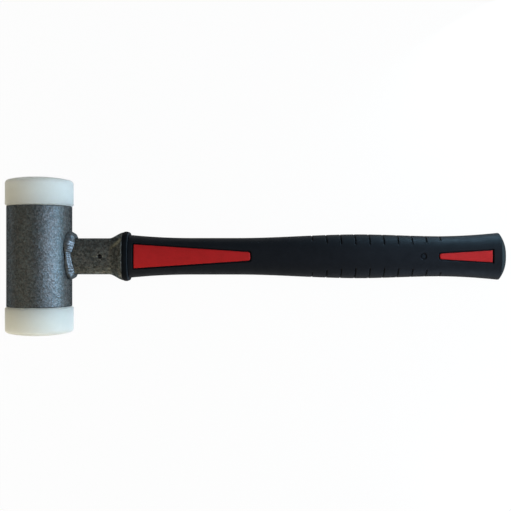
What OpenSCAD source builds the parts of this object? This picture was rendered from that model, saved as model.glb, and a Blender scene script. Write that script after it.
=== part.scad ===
// Dead blow hammer: a shot-filled steel barrel with two nylon faces, a welded handle socket
// and a fibreglass handle with a soft grip.
// The origin is where the barrel axis crosses the handle axis. +X runs along the handle
// towards the grip, +Y along the barrel towards the upper face, and +Z is up with the hammer
// lying on its side. All sizes are in millimetres.

/* [Housing] */
// Outside diameter of the barrel
housing_d = 48; // [44:0.5:60]
// Length of the barrel between its two rims
housing_len = 75; // [66:1:90]
// Wall of the barrel around the face seats
housing_wall = 3; // [2:0.1:4]
// Width of the shoulder that each closing disc rests on
shoulder_w = 1.5; // [1:0.1:2.5]
// Depth of each seat, from the rim to the shoulder
seat_depth = 15; // [12:0.5:18]
// Chamfer on the outside of each rim
rim_chamfer = 0.6; // [0.2:0.1:1]

/* [Striking faces] */
// How far a face stands out over the barrel all round
face_overhang = 1; // [0.4:0.1:2]
// Height of a face from the barrel's rim to its flat centre
face_t = 21.3; // [14:0.1:26]
// Drop from the flat centre to the edge of the face
face_crown = 1.6; // [0.4:0.1:3]
// Radius of the edge of the face
face_edge_r = 3; // [1:0.25:5]
// Diameter of the flat centre of the face
face_flat_d = 20; // [10:1:26]
// Chamfer under the face, next to the barrel
face_chamfer = 1.2; // [0.6:0.1:2]
// Chamfer that leads the spigot of a face into its seat
spigot_lead = 1; // [0.5:0.1:2]

/* [Closing discs and shot] */
// Thickness of each closing disc
disc_t = 3; // [2:0.25:5]
// Diameter of one steel ball
shot_d = 8; // [5:0.25:9]
// Depth of the bed of balls
bed_depth = 31; // [20:0.5:36]

/* [Socket] */
// Outside width of the socket tube, along the barrel
socket_w = 27; // [25:0.2:32]
// Outside thickness of the socket tube, across the barrel
socket_t = 18; // [17.6:0.2:22]
// Wall of the socket tube
socket_wall = 2.2; // [1.6:0.1:2.3]
// Distance from the barrel's surface to the mouth of the socket
socket_reach = 39.7; // [36:0.1:56]
// Length of the flared mouth
flare_len = 10.7; // [6:0.1:14]
// How far the mouth flares out from the tube all round
flare_rise = 4.6; // [2:0.1:6]

/* [Weld] */
// Mean radius of the weld bead
bead_r = 4; // [3:0.1:4.6]
// How much fatter the bead is beside the handle than above it
bead_swell = 1; // [0:0.1:1.2]
// Number of ripples around the bead
bead_ripples = 15; // [8:1:24]
// Height of a ripple
ripple_h = 0.15; // [0:0.05:0.3]

/* [Handle core] */
// Width of the handle core under the grip
core_w = 19; // [14:0.5:21]
// Thickness of the handle core under the grip
core_t = 13; // [11:0.5:13.5]
// Solid rubber left behind the end of the core
core_end_wall = 9; // [6:0.5:20]

/* [Collar] */
// Length of the collar between the socket and the grip
collar_len = 4.2; // [3:0.1:8]
// How far the collar stands out over the mouth of the socket
collar_rise = 0.6; // [0.2:0.1:2]
// Length over which the front of the collar rounds up
collar_front = 1.6; // [0.6:0.1:2]
// Chamfer at the rear of the collar
collar_chamfer = 0.8; // [0.3:0.1:1]
// How far the collar falls from its crest to its rear chamfer
collar_fall = 0.4; // [0:0.1:0.8]

/* [Grip] */
// Length of the grip from the collar to the end of the handle
grip_len = 282.2; // [262:0.1:310]
// Width at the front of the grip
front_w = 32.3; // [29:0.1:35]
// Width at the waist
waist_w = 27.5; // [25:0.1:30]
// Width at the belly
belly_w = 33; // [28:0.1:38]
// Width at the rear waist
rear_waist_w = 30.2; // [27:0.1:34]
// Width at the pommel
pommel_w = 35.2; // [31:0.1:40]
// Distance from the front of the grip to the start of the waist
waist_from = 47; // [40:1:60]
// Distance from the front of the grip to the end of the waist
waist_to = 81; // [70:1:100]
// Distance from the front of the grip to the belly
belly_at = 171.5; // [150:0.5:185]
// Distance from the front of the grip to the rear waist
rear_waist_at = 232.5; // [205:0.5:245]
// How far the end of the pommel is domed
dome_rise = 5.8; // [3:0.2:10]
// Thickness of the grip as a ratio of its width
grip_flatness = 0.77; // [0.72:0.01:0.95]

/* [Grip grooves] */
// Number of grooves along each edge of the grip
groove_count = 10; // [4:1:14]
// Spacing of the grooves
groove_pitch = 10.57; // [8:0.01:12]
// Distance from the front of the grip to the first groove
groove_first = 136.8; // [110:0.2:150]
// Width of a groove
groove_w = 1.1; // [0.6:0.1:2]
// Depth of a groove
groove_depth = 0.9; // [0.4:0.1:1.4]
// Distance from the handle axis to where the middle grooves end
groove_inner = 9.1; // [6:0.1:11]
// How much shorter the first and last grooves are than the middle ones
groove_taper = 2.9; // [0:0.1:4]

/* [Inlays] */
// Distance from the front of the grip to the front inlay
front_inlay_at = 4.4; // [2:0.2:8]
// Length of the front inlay
front_inlay_len = 86.7; // [60:0.1:100]
// Width of the front inlay at its wide end
front_inlay_wide = 17.8; // [10:0.2:20]
// Width of the front inlay at its narrow end
front_inlay_narrow = 6.3; // [4:0.1:10]
// Distance from the edge of the pommel to the rear inlay
rear_inlay_at = 7; // [3:0.1:12]
// Length of the rear inlay
rear_inlay_len = 39.7; // [20:0.1:46]
// Width of the rear inlay at its wide end
rear_inlay_wide = 9.4; // [6:0.2:12]
// Width of the rear inlay at its narrow end
rear_inlay_narrow = 4.2; // [3:0.2:6]
// Radius of the corners at an inlay's narrow end
inlay_corner_r = 1.4; // [0.5:0.1:1.5]
// How far an inlay lies below the surface of the grip
inlay_recess = 0.3; // [0.1:0.05:0.6]
// Rubber left between an inlay and the handle core
inlay_floor = 0.8; // [0.4:0.1:1.2]

/* [Pins] */
// Diameter of the rolled spring pin that locks the handle core in the socket
socket_pin_d = 3; // [2:0.25:5]
// Wall of the socket pin
socket_pin_wall = 0.6; // [0.4:0.05:0.9]
// Width of the slit along the socket pin
socket_pin_slit = 0.6; // [0.3:0.1:1]
// Distance from the mouth of the socket back to the socket pin
socket_pin_back = 16.8; // [14:0.2:22]
// How far the ends of the socket pin lie below the socket
socket_pin_sink = 0.7; // [0.2:0.1:1.2]
// Diameter of the pin that locks the grip on the handle core
grip_pin_d = 2.8; // [2:0.1:4]
// How far the ends of the grip pin lie below the grip
grip_pin_sink = 0.3; // [0.1:0.05:0.6]
// Distance from the narrow end of the rear inlay to the grip pin
grip_pin_ahead = 11.1; // [6:0.1:20]
// Diameter of the recess around each end of the grip pin
pin_recess_d = 4.8; // [4.4:0.1:7]
// Depth of the recess around each end of the grip pin
pin_recess_depth = 0.8; // [0.4:0.1:1.5]

/* [Clearances] */
// Radial clearance of a face in its seat
seat_clearance = 0.05; // [0.02:0.01:0.1]
// Gap between a closing disc and the face above it
disc_gap = 0.3; // [0.1:0.05:1]
// Radial clearance of a piece that is bonded or pressed in place
bond_clearance = 0.02; // [0.01:0.01:0.1]
// Gap between two balls of the shot
ball_gap = 0.1; // [0.05:0.05:0.3]
// Least gap between the shot and the chamber
shot_clearance = 0.4; // [0.3:0.05:1]
// Gap between the handle core and the barrel
tenon_gap = 1; // [0.5:0.1:3]

/* [Hidden] */

$fn = 96;
eps = 0.01;

// Derived sizes of the head
housing_r = housing_d / 2;
seat_r = housing_r - housing_wall;
chamber_r = seat_r - shoulder_w;
chamber_len = housing_len - 2 * seat_depth;
face_r = housing_r + face_overhang;
spigot_r = seat_r - seat_clearance;
spigot_len = seat_depth - disc_t - disc_gap;

// Derived sizes of the shot: close-packed layers, every second one moved into the hollows
ball_pitch = shot_d + ball_gap;
row_pitch = ball_pitch * sqrt(3) / 2;
layer_pitch = ball_pitch * sqrt(2 / 3);
layer_count = floor((bed_depth - shot_d) / layer_pitch) + 1;
bed_r = chamber_r - shot_clearance - shot_d / 2;
rows_out = ceil(bed_r / row_pitch) + 1;

// Derived places along the handle
mouth_x = housing_r + socket_reach;
flare_from = mouth_x - flare_len;
socket_pin_x = mouth_x - socket_pin_back;
grip_x = mouth_x + collar_len;
end_x = grip_x + grip_len;
pommel_x = end_x - dome_rise;
core_end_x = end_x - core_end_wall;
rear_inlay_from = pommel_x - rear_inlay_at - rear_inlay_len;
grip_pin_x = rear_inlay_from - grip_pin_ahead;
groove_half_span = groove_pitch * (groove_count - 1) / 2;
groove_mid_x = grip_x + groove_first + groove_half_span;
inlay_floor_z = core_t / 2 + inlay_floor;

// Superellipse powers of the cross-sections, and the number of points around them
socket_power = 3.5;
grip_power = 2.5;
section_points = 40;
// Power by which the grooves get shorter towards the first and the last one
groove_taper_power = 4;
// Share of a full ease that the flare follows, so that its mouth still slopes a little
flare_ease_share = 0.9;
// Number of steps along the flare, and the step where the collar's nose begins
flare_steps = 6;
nose_from_step = 2;
// Spacing of the cross-sections along the grip and number of them over the dome
section_step = 9;
dome_steps = 5;
// Share of the dome at its last cross-section, where a small flat closes it
dome_close = 0.97;

grip_colour = [0.13, 0.15, 0.18];
inlay_colour = [0.62, 0.09, 0.1];
nylon_colour = [0.86, 0.87, 0.82];
paint_colour = [0.36, 0.38, 0.39];
steel_colour = [0.62, 0.63, 0.65];
core_colour = [0.78, 0.72, 0.5];

// Turns a shape that stands along Z to lie along the barrel
module along_y() { rotate([-90, 0, 0]) children(); }

// Points of an arc about a centre, from one angle to another
function arc(centre, r, from, to, steps = 8) =
    [for (i = [0:steps]) let (a = from + (to - from) * i / steps) centre + r * [cos(a), sin(a)]];

// The share of the way from 0 to 1, easing in, easing out or both
function ease_in(t) = pow(t, 1.8);
function ease_out(t) = 1 - (1 - t) * (1 - t);
function ease_both(t) = t * t * (3 - 2 * t);
function flare_ease(t) = ease_both(flare_ease_share * t) / ease_both(flare_ease_share);
function share(x, from, to) = min(1, max(0, (x - from) / (to - from)));

// Width of the grip at a distance from its front, up to the start of the dome
function body_width(d) =
    d < waist_from ? front_w + (waist_w - front_w) * ease_out(share(d, 0, waist_from))
    : d < belly_at ? waist_w + (belly_w - waist_w) * ease_both(share(d, waist_to, belly_at))
    : d < rear_waist_at ? belly_w + (rear_waist_w - belly_w) * ease_both(share(d, belly_at, rear_waist_at))
    : rear_waist_w + (pommel_w - rear_waist_w) * ease_in(share(d, rear_waist_at, grip_len - dome_rise));

// How much narrower the dome is than the pommel, along an arc through the pommel's two edges
dome_r = (pow(pommel_w / 2, 2) + dome_rise * dome_rise) / (2 * dome_rise);
function dome_share(x) =
    x <= pommel_x ? 1 : sqrt(max(0, dome_r * dome_r - pow(x - end_x + dome_r, 2))) / (pommel_w / 2);

// Half width and half thickness of the grip at a place along the handle
function half_w(x) = body_width(x - grip_x) / 2 * dome_share(x);
function half_t(x) = half_w(x) * grip_flatness;

// One point of an oval with a half width and a half thickness, and one ring of points
function oval(a, w, t, power) =
    let (c = cos(a), s = sin(a))
    [c, s] / pow(pow(abs(c) / w, power) + pow(abs(s) / t, power), 1 / power);
function oval_points(w, t, power) =
    [for (i = [0:section_points - 1]) oval(360 * i / section_points, w, t, power)];
function ring(x, w, t, power) = [for (p = oval_points(w, t, power)) [x, p[0], p[1]]];

// A closed solid through a list of rings along the handle
module loft(rings) {
    n = section_points;
    last = len(rings) - 1;
    points = [for (r = rings) each r];
    sides = [
        for (k = [0:last - 1], i = [0:n - 1])
            let (a = k * n + i, b = k * n + (i + 1) % n)
            each [[a, b + n, b], [a, a + n, b + n]]
    ];
    front = [[for (i = [0:n - 1]) i]];
    rear = [[for (i = [n - 1:-1:0]) last * n + i]];
    polyhedron(points, concat(front, sides, rear));
}
module grip_loft(places, inset = 0) {
    loft([for (x = places) ring(x, half_w(x) - inset, half_t(x) - inset, grip_power)]);
}

// A straight bar with an oval cross-section, between two places along the handle
module oval_bar(from, to, w, t, power) {
    translate([from, 0, 0]) rotate([90, 0, 90]) linear_extrude(to - from) polygon(oval_points(w, t, power));
}
module core_bar(from, to, grow = 0) {
    oval_bar(from, to, core_w / 2 + grow, core_t / 2 + grow, grip_power);
}
module socket_bar(to, inset = 0) {
    oval_bar(0, to, socket_w / 2 - inset, socket_t / 2 - inset, socket_power);
}

// One ring of the socket, at a place along the handle and drawn in by an inset all round
function socket_ring(x, inset) =
    let (grow = flare_rise * flare_ease(share(x, flare_from, mouth_x)) - inset)
    ring(x, socket_w / 2 + grow, socket_t / 2 + grow, socket_power);
flare_places = [for (i = [0:flare_steps]) flare_from + flare_len * i / flare_steps];

// Evenly spaced places from one to another, no further apart than the section step
function stations(from, to) =
    let (n = ceil((to - from) / section_step)) [for (i = [0:n]) from + (to - from) * i / n];
dome_stations = [for (i = [1:dome_steps]) pommel_x + dome_rise * dome_close * sin(90 * i / dome_steps)];

// Outline of an inlay: a wedge from its wide end to its narrow end, along +X
module wedge(length, wide, narrow, grow = 0) {
    r = inlay_corner_r + grow;
    polygon(concat(
        [[-grow, -wide / 2 - grow]],
        arc([length + grow - r, -narrow / 2 - grow + r], r, -90, 0, 4),
        arc([length + grow - r, narrow / 2 + grow - r], r, 0, 90, 4),
        [[-grow, wide / 2 + grow]]
    ));
}
module front_wedge(grow = 0) {
    translate([grip_x + front_inlay_at, 0])
        wedge(front_inlay_len, front_inlay_wide, front_inlay_narrow, grow);
}
module rear_wedge(grow = 0) {
    translate([pommel_x - rear_inlay_at, 0]) mirror([1, 0])
        wedge(rear_inlay_len, rear_inlay_wide, rear_inlay_narrow, grow);
}

// An inlay's body: its outline from the pocket floor up to just below the grip's surface
module inlay(from, to) {
    color(inlay_colour) intersection() {
        translate([0, 0, inlay_floor_z]) linear_extrude(pommel_w) children();
        grip_loft(stations(from - section_step, to + section_step), inlay_recess);
    }
}
module front_inlay_near() {
    inlay(grip_x + section_step + eps, grip_x + front_inlay_at + front_inlay_len) front_wedge();
}
module rear_inlay_near() {
    inlay(rear_inlay_from, pommel_x - section_step - eps) rear_wedge();
}
module front_inlay_far() { mirror([0, 0, 1]) front_inlay_near(); }
module rear_inlay_far() { mirror([0, 0, 1]) rear_inlay_near(); }

// The barrel: a tube with a seat at each end for a closing disc and a face
module head_housing() {
    top = housing_len / 2;
    outline = [
        [chamber_r, 0],
        [housing_r, 0],
        [housing_r, top - rim_chamfer],
        [housing_r - rim_chamfer, top],
        [seat_r, top],
        [seat_r, top - seat_depth],
        [chamber_r, top - seat_depth]
    ];
    color(paint_colour) along_y() {
        rotate_extrude() polygon(outline);
        mirror([0, 0, 1]) rotate_extrude() polygon(outline);
    }
}

// A nylon face: a crowned disc on a spigot that seats in the barrel
module upper_face() {
    rim = housing_len / 2;
    flat_r = face_flat_d / 2;
    edge_z = rim + face_t - face_crown - face_edge_r;
    edge_x = face_r - face_edge_r;
    crown_steps = 5;
    crown = [
        for (i = [1:crown_steps])
            let (t = i / crown_steps)
            [edge_x + (flat_r - edge_x) * t, rim + face_t - face_crown * (1 - t) * (1 - t)]
    ];
    outline = concat(
        [
            [0, rim - spigot_len],
            [spigot_r - spigot_lead, rim - spigot_len],
            [spigot_r, rim - spigot_len + spigot_lead],
            [spigot_r, rim],
            [face_r - face_chamfer, rim],
            [face_r, rim + face_chamfer]
        ],
        arc([edge_x, edge_z], face_edge_r, 0, 90),
        crown,
        [[0, rim + face_t]]
    );
    color(nylon_colour) along_y() rotate_extrude() polygon(outline);
}
module lower_face() { mirror([0, 1, 0]) upper_face(); }

// A steel disc that closes one end of the shot chamber
module upper_chamber_disc() {
    color(steel_colour) translate([0, chamber_len / 2, 0]) along_y()
        cylinder(r = seat_r - bond_clearance, h = disc_t);
}
module lower_chamber_disc() { mirror([0, 1, 0]) upper_chamber_disc(); }

// One layer of balls in rows; a shifted layer fits into the hollows of the one below
module shot_layer(shift) {
    for (j = [-rows_out:rows_out]) {
        z = (j + shift / 3) * row_pitch;
        union() for (i = [-2 * rows_out:2 * rows_out]) {
            x = (i + j / 2 + shift / 2) * ball_pitch;
            if (norm([x, z]) <= bed_r) translate([x, 0, z]) sphere(d = shot_d, $fn = 32);
        }
    }
}

// The bed of steel balls, lying against the lower closing disc
module steel_shot() {
    base = -chamber_len / 2 + shot_clearance + shot_d / 2;
    color(steel_colour)
        for (k = [0:layer_count - 1]) translate([0, base + k * layer_pitch, 0]) shot_layer(k % 2);
}

// The handle socket: a flattened tube cut to saddle on the barrel, with a flared mouth
module handle_socket() {
    color(paint_colour) difference() {
        loft([for (x = concat([0], flare_places)) socket_ring(x, 0)]);
        loft(concat(
            [for (x = concat([-eps], flare_places)) socket_ring(x, socket_wall)],
            [socket_ring(mouth_x + eps, socket_wall)]
        ));
        along_y() cylinder(r = housing_r, h = housing_len, center = true);
        translate([socket_pin_x, 0, 0])
            cylinder(d = socket_pin_d + 2 * bond_clearance, h = 2 * socket_t, center = true);
    }
}

// Direction straight out of the socket at a point of its cross-section
function outward(p) =
    let (
        n = socket_power - 1,
        y = sign(p[0]) * pow(2 * abs(p[0]) / socket_w, n) / socket_w,
        z = sign(p[1]) * pow(2 * abs(p[1]) / socket_t, n) / socket_t
    )
    [y, z] / norm([y, z]);

// The weld bead around the root of the socket, over the corner between tube and barrel
module weld_bead() {
    around = 60;
    sides = 10;
    points = [
        for (i = [0:around - 1], j = [0:sides - 1])
            let (
                a = 360 * i / around,
                b = 360 * j / sides,
                root = oval(a, socket_w / 2, socket_t / 2, socket_power),
                root_x = sqrt(housing_r * housing_r - root[1] * root[1]),
                r = bead_r + bead_swell * cos(2 * a) + ripple_h * sin(bead_ripples * a),
                edge = root + r * cos(b) * outward(root)
            )
            [root_x + r * sin(b), edge[0], edge[1]]
    ];
    faces = [
        for (i = [0:around - 1], j = [0:sides - 1])
            let (
                a = i * sides + j,
                b = i * sides + (j + 1) % sides,
                next = ((i + 1) % around - i) * sides
            )
            each [[a, b, b + next], [a, b + next, a + next]]
    ];
    color(paint_colour) difference() {
        polyhedron(points, faces);
        along_y() cylinder(r = housing_r, h = housing_len, center = true);
        socket_bar(mouth_x);
    }
}

// The rolled spring pin through the socket and the handle core
module socket_pin() {
    length = socket_t - 2 * socket_pin_sink;
    color(steel_colour) translate([socket_pin_x, 0, 0]) difference() {
        cylinder(d = socket_pin_d, h = length, center = true);
        cylinder(d = socket_pin_d - 2 * socket_pin_wall, h = length + eps, center = true);
        translate([socket_pin_d / 2, 0, 0])
            cube([socket_pin_d, socket_pin_slit, length + eps], center = true);
    }
}

// The fibreglass handle core: a thick tenon in the socket and a slimmer shank in the grip
module handle_core() {
    color(core_colour) difference() {
        union() {
            socket_bar(flare_from, socket_wall + bond_clearance);
            core_bar(flare_from - eps, core_end_x);
        }
        along_y() cylinder(r = housing_r + tenon_gap, h = housing_len, center = true);
        translate([socket_pin_x, 0, 0])
            cylinder(d = socket_pin_d + 2 * bond_clearance, h = 2 * socket_t, center = true);
        translate([grip_pin_x, 0, 0])
            cylinder(d = grip_pin_d + 2 * bond_clearance, h = 2 * core_t, center = true);
    }
}

// The rubber collar: a nose that fills the flared mouth, and a ring in front of the grip
function collar_ring(x, rise) =
    ring(x, socket_w / 2 + flare_rise + rise, socket_t / 2 + flare_rise + rise, socket_power);
module grip_collar() {
    round_steps = 4;
    nose = [
        for (i = [nose_from_step:flare_steps]) socket_ring(flare_places[i], socket_wall + bond_clearance)
    ];
    rounding = [
        for (i = [0:round_steps])
            let (t = i / round_steps)
            collar_ring(mouth_x + collar_front * t, collar_rise * ease_out(t))
    ];
    rear = [
        collar_ring(grip_x - collar_chamfer, collar_rise - collar_fall),
        collar_ring(grip_x, collar_rise - collar_fall - collar_chamfer)
    ];
    color(grip_colour) difference() {
        loft(concat(nose, rounding, rear));
        core_bar(flare_from, grip_x + eps, bond_clearance);
    }
}

// A cutter for one groove: a slice of everything outside the groove's floor, on the +Y edge
module groove_cutter(x) {
    margin = 2;
    steps = 12;
    groove_least = 0.97;
    inner = groove_inner + groove_taper * pow(abs(x - groove_mid_x) / groove_half_span, groove_taper_power);
    floor_w = half_w(x) - groove_depth;
    floor_t = half_t(x) - groove_depth;
    top = half_w(x) + margin;
    side = half_t(x) + margin;
    inner_share = min(groove_least, inner / floor_w);
    reach = atan2(floor_t * pow(1 - pow(inner_share, grip_power), 1 / grip_power), floor_w * inner_share);
    groove_floor = [for (i = [0:steps]) oval(reach * (2 * i / steps - 1), floor_w, floor_t, grip_power)];
    translate([x - groove_w / 2, 0, 0]) rotate([90, 0, 90]) linear_extrude(groove_w)
        polygon(concat(
            [[inner, -side]],
            groove_floor,
            [[inner, side], [top, side], [top, -side]]
        ));
}
module groove_cutters() {
    for (i = [0:groove_count - 1]) {
        x = grip_x + groove_first + i * groove_pitch;
        groove_cutter(x);
        mirror([0, 1, 0]) groove_cutter(x);
    }
}

// Pockets for the inlays on one side of the grip
module inlay_pockets() {
    translate([0, 0, inlay_floor_z]) linear_extrude(pommel_w) {
        front_wedge(bond_clearance);
        rear_wedge(bond_clearance);
    }
}

// The soft grip: an oval sleeve over the handle core, with pockets, grooves and a pin hole
module grip_sleeve() {
    recess_z = half_t(grip_pin_x) - pin_recess_depth;
    color(grip_colour) difference() {
        grip_loft(concat(stations(grip_x, pommel_x), dome_stations));
        core_bar(grip_x - eps, core_end_x + bond_clearance, bond_clearance);
        inlay_pockets();
        mirror([0, 0, 1]) inlay_pockets();
        groove_cutters();
        translate([grip_pin_x, 0, 0])
            cylinder(d = grip_pin_d + 2 * bond_clearance, h = 2 * pommel_w, center = true);
        for (side = [0, 1])
            mirror([0, 0, side]) translate([grip_pin_x, 0, recess_z])
                cylinder(d = pin_recess_d, h = pommel_w);
    }
}

// The pin through the grip and the handle core
module grip_pin() {
    color(grip_colour) translate([grip_pin_x, 0, 0])
        cylinder(d = grip_pin_d, h = 2 * (half_t(grip_pin_x) - grip_pin_sink), center = true);
}

head_housing();
upper_face();
lower_face();
upper_chamber_disc();
lower_chamber_disc();
steel_shot();
handle_socket();
weld_bead();
socket_pin();
handle_core();
grip_collar();
grip_sleeve();
front_inlay_near();
front_inlay_far();
rear_inlay_near();
rear_inlay_far();
grip_pin();
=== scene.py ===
"""Looks of the dead blow hammer, built over its CAD frame.
Lengths are in metres, in the frame's axes. Names that end in _W and _T are half widths and half
thicknesses, and those that end in _WIDTH are full ones."""

import math

import bmesh
import bpy
import numpy as np
from mathutils import Matrix, Vector, noise


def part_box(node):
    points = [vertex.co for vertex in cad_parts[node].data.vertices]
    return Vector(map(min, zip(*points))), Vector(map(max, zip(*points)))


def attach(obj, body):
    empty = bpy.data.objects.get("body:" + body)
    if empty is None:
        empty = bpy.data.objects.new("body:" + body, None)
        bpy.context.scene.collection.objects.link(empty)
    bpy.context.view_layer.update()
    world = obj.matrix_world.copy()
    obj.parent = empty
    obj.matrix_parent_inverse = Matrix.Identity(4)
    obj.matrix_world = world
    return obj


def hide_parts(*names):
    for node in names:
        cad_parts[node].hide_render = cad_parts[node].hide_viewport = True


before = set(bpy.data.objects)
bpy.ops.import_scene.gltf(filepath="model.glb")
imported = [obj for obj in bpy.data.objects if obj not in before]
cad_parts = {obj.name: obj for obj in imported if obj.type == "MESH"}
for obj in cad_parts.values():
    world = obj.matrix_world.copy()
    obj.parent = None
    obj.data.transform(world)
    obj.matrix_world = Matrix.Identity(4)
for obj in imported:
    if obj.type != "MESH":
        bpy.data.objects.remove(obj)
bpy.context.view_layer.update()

MM = 0.001

# Sizes taken from the frame
HOUSING_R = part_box("head_housing")[1].x
RIM_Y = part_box("head_housing")[1].y
FACE_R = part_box("upper_face")[1].x
FACE_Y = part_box("upper_face")[1].y
SPIGOT_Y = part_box("upper_face")[0].y
DISC_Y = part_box("upper_chamber_disc")[0].y
SEAT_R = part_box("upper_chamber_disc")[1].x
MOUTH_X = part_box("handle_socket")[1].x
MOUTH_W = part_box("handle_socket")[1].y
GRIP_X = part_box("grip_sleeve")[0].x
GRIP_END_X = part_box("grip_sleeve")[1].x
POMMEL_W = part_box("grip_sleeve")[1].y
CORE_END_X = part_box("handle_core")[1].x
SOCKET_PIN_X = (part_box("socket_pin")[0].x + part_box("socket_pin")[1].x) / 2
SOCKET_PIN_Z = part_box("socket_pin")[1].z
SOCKET_PIN_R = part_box("socket_pin")[1].y
GRIP_PIN_X = (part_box("grip_pin")[0].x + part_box("grip_pin")[1].x) / 2
GRIP_PIN_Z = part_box("grip_pin")[1].z
GRIP_PIN_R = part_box("grip_pin")[1].y

# Sizes of the head that the frame's boxes don't give
SEAT_STEP = 1.5 * MM
CHAMBER_R = SEAT_R - SEAT_STEP
RIM_OUTER_R = 0.6 * MM
RIM_INNER_R = 0.4 * MM
FACE_CROWN = 1.6 * MM
FACE_EDGE_R = 3 * MM
FACE_FLAT_R = 10 * MM
FACE_CHAMFER = 1.2 * MM
CHAMFER_INNER_R = 0.1 * MM
CHAMFER_OUTER_R = 0.4 * MM
SPIGOT_GAP = 0.05 * MM
SPIGOT_LEAD = 1 * MM
SPIGOT_EDGE_R = 0.2 * MM

# Sizes of the socket. Its flats end at a shoulder, which falls away at an angle
SOCKET_W = 13.5 * MM
SOCKET_T = 9 * MM
SOCKET_WALL = 2.2 * MM
SADDLE_SINK = 0.4 * MM
SHOULDER_AT = 6.6 * MM
SHOULDER_AT_MOUTH = 11.5 * MM
SHOULDER_FALL = math.radians(24)
SHOULDER_FALL_MOUTH = math.radians(32)
SHOULDER_POWER = 18
SHOULDER_POWER_MOUTH = 8
FLARE_LENGTH = 10.7 * MM
FLARE_RISE = MOUTH_W - SOCKET_W
FLARE_FROM = MOUTH_X - FLARE_LENGTH
FLARE_EASE_SHARE = 0.9
MOUTH_LIP_R = 0.5 * MM

# Sizes of the pins and of the hole for the socket pin, whose edges are pressed in
PIN_EDGE = 0.3 * MM
SOCKET_PIN_WALL = 0.6 * MM
SOCKET_PIN_SLIT = 0.6 * MM
PIN_HOLE_R = 1.52 * MM
DENT_REACH = 0.55 * MM
DENT_DEPTH = 0.6 * MM
DENT_RISE = 0.1 * MM
GRIP_PIN_EDGE_R = 0.2 * MM
GRIP_PIN_TIP_R = 0.3 * MM

# Sizes of the handle core and the collar
CORE_W = 9.5 * MM
CORE_T = 6.5 * MM
CORE_GAP = 0.1 * MM
COLLAR_NOSE = 6 * MM
COLLAR_NOSE_GAP = 0.05 * MM
COLLAR_RISE = 0.6 * MM
COLLAR_FALL = 0.4 * MM
COLLAR_DIP = 0.25 * MM
COLLAR_FRONT = 1.6 * MM
COLLAR_REAR_R = 0.7 * MM
COLLAR_SEAM = 0.1 * MM

# Sizes of the grip
GRIP_POWER = 2.5
GRIP_FLATNESS = 0.77
GRIP_FRONT_R = 0.4 * MM
DOME_RISE = 5.8 * MM
DOME_POWER = 2.35
DOME_EDGE_R = 0.45 * MM
DOME_TIP_SHARE = 0.04
POMMEL_X = GRIP_END_X - DOME_RISE
POMMEL_POWER = 1.8
FRONT_WIDTH = 32.3 * MM
WAIST_WIDTH = 27.5 * MM
BELLY_WIDTH = 33 * MM
REAR_WAIST_WIDTH = 30.2 * MM
WAIST_FROM = 47 * MM
WAIST_TO = 81 * MM
BELLY_AT = 171.5 * MM
REAR_WAIST_AT = 232.5 * MM
PIN_RECESS_R = 2.4 * MM
PIN_RECESS_DEPTH = 0.8 * MM
PIN_RECESS_EDGE_OUT = 0.25 * MM
PIN_RECESS_EDGE_IN = 0.15 * MM

# Sizes of the grooves, which are shallower on the very edge of the grip
GROOVE_COUNT = 10
GROOVE_PITCH = 10.57 * MM
GROOVE_FIRST = 136.8 * MM
GROOVE_HALF_W = 0.7 * MM
GROOVE_DEPTH = 0.9 * MM
GROOVE_WALL_POWER = 2.4
GROOVE_INNER = 8.9 * MM
GROOVE_TAPER = 2.9 * MM
GROOVE_TAPER_POWER = 4
GROOVE_FADE = 0.5 * MM
GROOVE_EDGE_FROM = 0.9
GROOVE_EDGE_LOSS = 0.55

# Sizes of the inlays, and how far their outlines stay within the CAD solids
INLAY_CORNER_R = 1.4 * MM
INLAY_EDGE_R = 0.6 * MM
INLAY_GAP = 0.05 * MM
INLAY_FLOOR_GAP = 0.1 * MM
POCKET_GAP = 0.85 * MM
INLAY_RECESS = 0.3 * MM
INLAY_DEPTH = 1.6 * MM
FRONT_NARROW_TRIM = 0.4 * MM
REAR_NARROW_TRIM = 1 * MM
REAR_WIDE_TRIM = 0.25 * MM

# Outlines of the inlays: the places of the wide and narrow ends, and the half widths there
FRONT_WEDGE = {
    "wide_x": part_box("front_inlay_near")[0].x,
    "narrow_x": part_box("front_inlay_near")[1].x - FRONT_NARROW_TRIM,
    "wide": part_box("front_inlay_near")[1].y,
    "narrow": 3.15 * MM,
}
REAR_WEDGE = {
    "wide_x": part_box("rear_inlay_near")[1].x,
    "narrow_x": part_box("rear_inlay_near")[0].x + REAR_NARROW_TRIM,
    "wide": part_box("rear_inlay_near")[1].y - REAR_WIDE_TRIM,
    "narrow": 2.1 * MM,
}


def way_along(wedge):
    """The way along X from a wedge's wide end to its narrow end, as 1 or -1."""
    return 1 if wedge["narrow_x"] > wedge["wide_x"] else -1


def grown(wedge, by):
    """A wedge's outline, larger by a gap on every side."""
    way = way_along(wedge)
    return {
        "wide_x": wedge["wide_x"] - way * by,
        "narrow_x": wedge["narrow_x"] + way * by,
        "wide": wedge["wide"] + by,
        "narrow": wedge["narrow"] + by,
    }


FRONT_POCKET = grown(FRONT_WEDGE, POCKET_GAP)
REAR_POCKET = grown(REAR_WEDGE, POCKET_GAP)


# Mesh helpers

# How fine the meshes are: points around and across, and the angle in degrees of a crisp edge
HEAD_AROUND = 192
SOCKET_AROUND = 192
PIN_AROUND = 48
HOLE_AROUND = 40
WELD_AROUND = 360
WELD_ACROSS = 44
FILLET_STEPS = 6
SHARP_ANGLE = 35


def full_turn(count):
    return np.linspace(0, 2 * math.pi, count, endpoint=False)


def quarter_turn(count):
    return np.linspace(0, math.pi / 2, count)


def ring(x, y, z):
    """Points from their coordinates, each of which may be one number for all of them."""
    return np.stack(np.broadcast_arrays(x, y, z), -1)


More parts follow.
